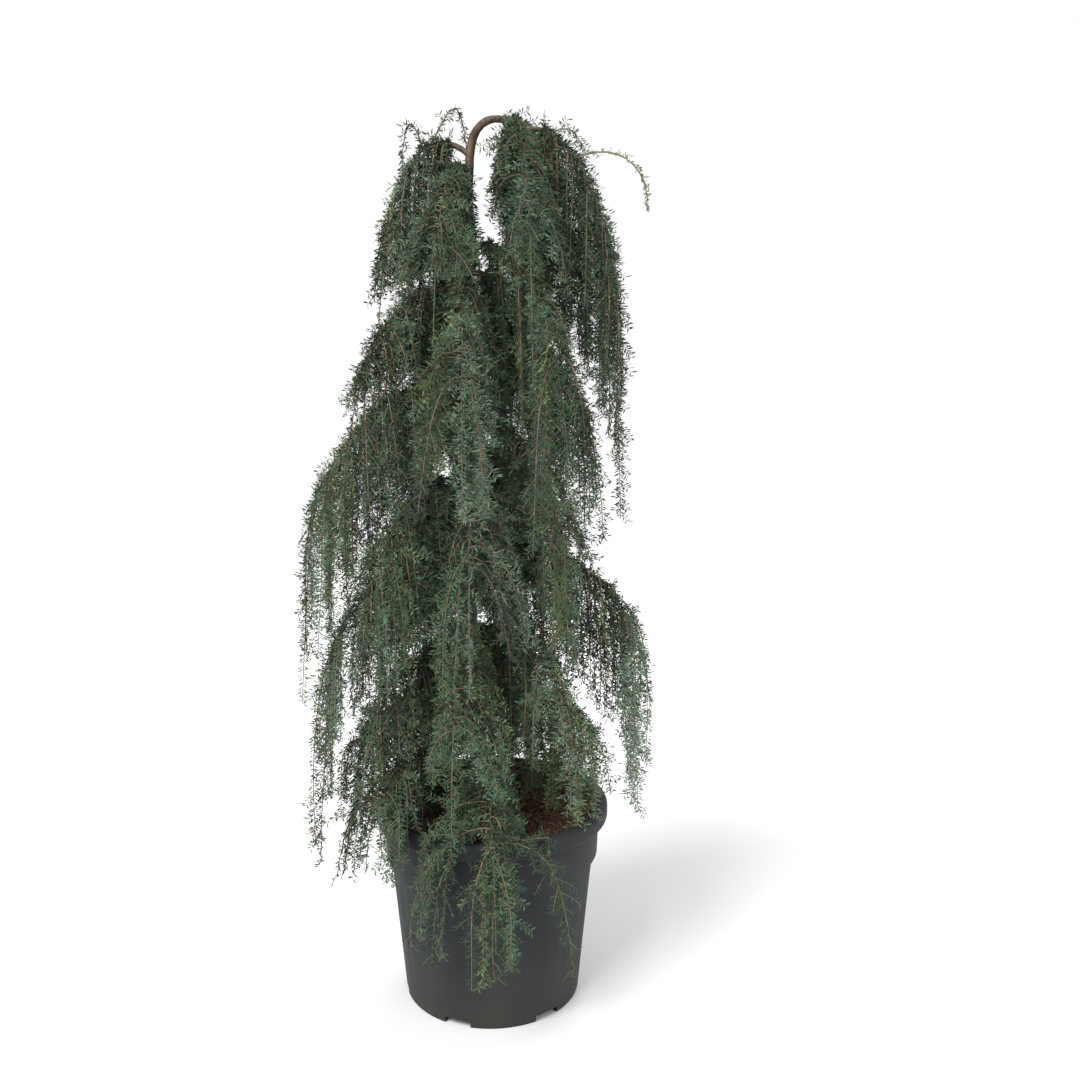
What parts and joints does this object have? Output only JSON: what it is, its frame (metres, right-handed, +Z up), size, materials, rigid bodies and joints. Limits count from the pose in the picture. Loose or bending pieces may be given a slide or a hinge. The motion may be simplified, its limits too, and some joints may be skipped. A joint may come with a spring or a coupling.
{
  "type": "potted weeping eastern hemlock",
  "caption": "Young weeping hemlock, about 1.5 m tall, in a round dark plastic nursery pot, with tiers of hanging needled shoots.",
  "frame": {"origin": "middle of the pot's flat underside, where it stands", "axes": "+Z up the trunk; +X to the viewer's right in the picture; +Y away from the viewer"},
  "size_m": [0.5832, 0.4898, 1.4872],
  "materials": {
    "pot_plastic": "moulded, matte, dusty",
    "compost": "coarse bark and coir fibre",
    "bark": "thin brown bark",
    "needles": "short flat needles, dark bluish green"
  },
  "bodies": {
    "root": {"bough_arch_back": "bark", "bough_arch_front": "bark", "bough_arch_right": "bark", "bough_base_back": "bark", "bough_base_left": "bark", "bough_base_right": "bark", "bough_crown_back": "bark", "bough_crown_front": "bark", "bough_crown_left": "bark", "bough_lower_front": "bark", "bough_lower_front_left": "bark", "bough_lower_front_right": "bark", "bough_lower_left": "bark", "bough_lower_right": "bark", "bough_middle_back": "bark", "bough_middle_back_left": "bark", "bough_middle_front": "bark", "bough_middle_front_left": "bark", "bough_middle_front_right": "bark", "bough_middle_left": "bark", "bough_skirt_front": "bark", "bough_skirt_left": "bark", "bough_upper_back": "bark", "bough_upper_back_left": "bark", "bough_upper_front": "bark", "bough_upper_front_right": "bark", "bough_upper_left": "bark", "bough_upper_right": "bark", "compost": "compost", "foliage_arch_back": "needles", "foliage_arch_front": "needles", "foliage_arch_right": "needles", "foliage_base_back": "needles", "foliage_base_left": "needles", "foliage_base_right": "needles", "foliage_crown_back": "needles", "foliage_crown_front": "needles", "foliage_crown_left": "needles", "foliage_lower_front": "needles", "foliage_lower_front_left": "needles", "foliage_lower_front_right": "needles", "foliage_lower_left": "needles", "foliage_lower_right": "needles", "foliage_middle_back": "needles", "foliage_middle_back_left": "needles", "foliage_middle_front": "needles", "foliage_middle_front_left": "needles", "foliage_middle_front_right": "needles", "foliage_middle_left": "needles", "foliage_skirt_front": "needles", "foliage_skirt_left": "needles", "foliage_upper_back": "needles", "foliage_upper_back_left": "needles", "foliage_upper_front": "needles", "foliage_upper_front_right": "needles", "foliage_upper_left": "needles", "foliage_upper_right": "needles", "pot": "pot_plastic", "trunk": "bark"}
  },
  "joints": []
}
